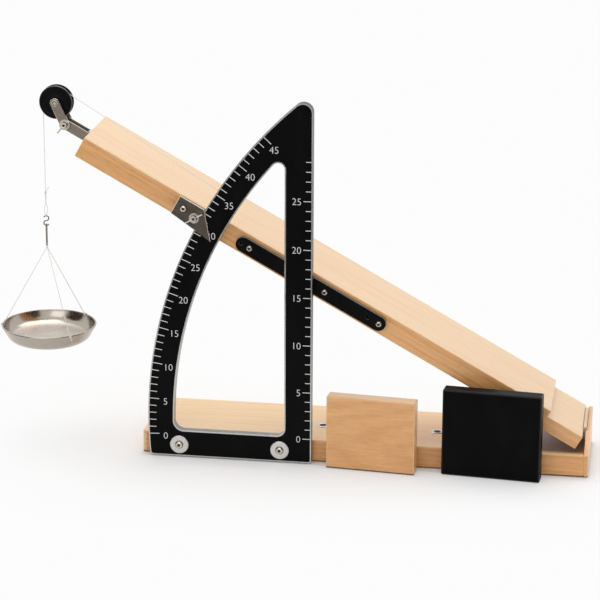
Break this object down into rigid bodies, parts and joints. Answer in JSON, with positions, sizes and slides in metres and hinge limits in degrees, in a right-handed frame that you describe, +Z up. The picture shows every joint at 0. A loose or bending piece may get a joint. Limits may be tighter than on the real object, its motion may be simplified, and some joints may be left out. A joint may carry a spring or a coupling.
{
  "type": "inclined plane",
  "caption": "Wooden plank hinged to a base board, with a quadrant angle scale, clamped pointer, swivelling pulley, thread with a weight pan, and loose friction blocks.",
  "frame": {"origin": "centre of the base board's underside, on the floor", "axes": "+X along the base to the hinge, +Y to the back, +Z up"},
  "size_m": [0.6152, 0.1279, 0.3758],
  "materials": {
    "beech": "satin",
    "scale_aluminium": "satin",
    "scale_black": "satin",
    "black_bar": "satin",
    "dark_steel": "satin",
    "bright_steel": "satin",
    "pulley_black": "gloss",
    "brass": "satin",
    "pan_steel": "polished",
    "thread": "matte",
    "block_black": "satin"
  },
  "bodies": {
    "base": {"base_board": "beech", "end_plate": "beech", "end_plate_screws": "bright_steel", "base_screws": "bright_steel", "cup_washers": "bright_steel", "scale_plate": "scale_aluminium", "scale_face": "scale_black", "scale_washers": "bright_steel", "scale_screws": "bright_steel", "hinge_base_leaf": "bright_steel", "hinge_base_screws": "bright_steel", "hinge_pin": "bright_steel"},
    "plane": {"plank": "beech", "hinge_block": "beech", "lap_screws": "bright_steel", "hinge_plane_leaf": "bright_steel", "hinge_plane_screws": "bright_steel", "side_bar": "black_bar", "side_bar_screws": "bright_steel", "clamp_block": "dark_steel", "pointer": "dark_steel", "pointer_screw": "bright_steel", "fork_bracket": "dark_steel", "fork_screws": "bright_steel", "anchor_eye": "bright_steel", "thread_run": "thread"},
    "angle_clamp": {"clamp_screw": "bright_steel", "clamp_washer": "bright_steel", "clamp_tommy_bar": "bright_steel"},
    "pulley_arm": {"arm_front": "dark_steel", "arm_rear": "dark_steel", "axle": "bright_steel", "axle_washers": "bright_steel", "pivot_nut": "bright_steel"},
    "pivot_clamp": {"pivot_screw": "bright_steel", "pivot_washer": "bright_steel", "pivot_tommy_bar": "bright_steel"},
    "pulley": {"pulley_wheel": "pulley_black", "pulley_bush": "brass"},
    "hanger": {"thread_wrap": "thread", "thread_drop": "thread", "s_hook": "bright_steel"},
    "weight_pan": {"pan_link": "bright_steel", "pan_threads": "thread", "pan": "pan_steel"},
    "wooden_block": {"wood_block": "beech"},
    "dark_block": {"black_block": "block_black"}
  },
  "joints": [
    {"name": "plane_tilt", "type": "hinge", "parent": "base", "child": "plane", "pos_m": [0.2248, 0, 0.0392], "axis": [0, 1, 0], "range_deg": [-29, 16], "deforming": ["thread_wrap"]},
    {"name": "angle_clamp_turn", "type": "hinge", "parent": "plane", "child": "angle_clamp", "pos_m": [-0.16819, 0, 0.25533], "axis": [0, 1, 0], "range_deg": [-180, 180]},
    {"name": "arm_swivel", "type": "hinge", "parent": "plane", "child": "pulley_arm", "pos_m": [-0.31153, 0, 0.33192], "axis": [0, 1, 0], "range_deg": [-12, 12], "deforming": ["thread_run"]},
    {"name": "pivot_clamp_turn", "type": "hinge", "parent": "pulley_arm", "child": "pivot_clamp", "pos_m": [-0.31153, 0, 0.33192], "axis": [0, 1, 0], "range_deg": [-180, 180]},
    {"name": "pulley_spin", "type": "hinge", "parent": "pulley_arm", "child": "pulley", "pos_m": [-0.32129, 0, 0.35385], "axis": [0, 1, 0], "continuous": true},
    {"name": "thread_plumb", "type": "hinge", "parent": "pulley_arm", "child": "hanger", "pos_m": [-0.32129, 0, 0.35385], "axis": [0, 1, 0], "range_deg": [-16, 29]},
    {"name": "pan_swing", "type": "hinge", "parent": "hanger", "child": "weight_pan", "pos_m": [-0.33539, 0, 0.22525], "axis": [0, 1, 0], "range_deg": [-15, 15]},
    {"name": "wood_block_slide", "type": "slide", "parent": "base", "child": "wooden_block", "axis": [0, -1, 0], "range_m": [0, 0.08]},
    {"name": "black_block_slide", "type": "slide", "parent": "base", "child": "dark_block", "axis": [0, -1, 0], "range_m": [0, 0.08]}
  ],
  "couplings": [
    {"joint": "thread_plumb", "follows": "plane_tilt", "ratio": -1}
  ]
}
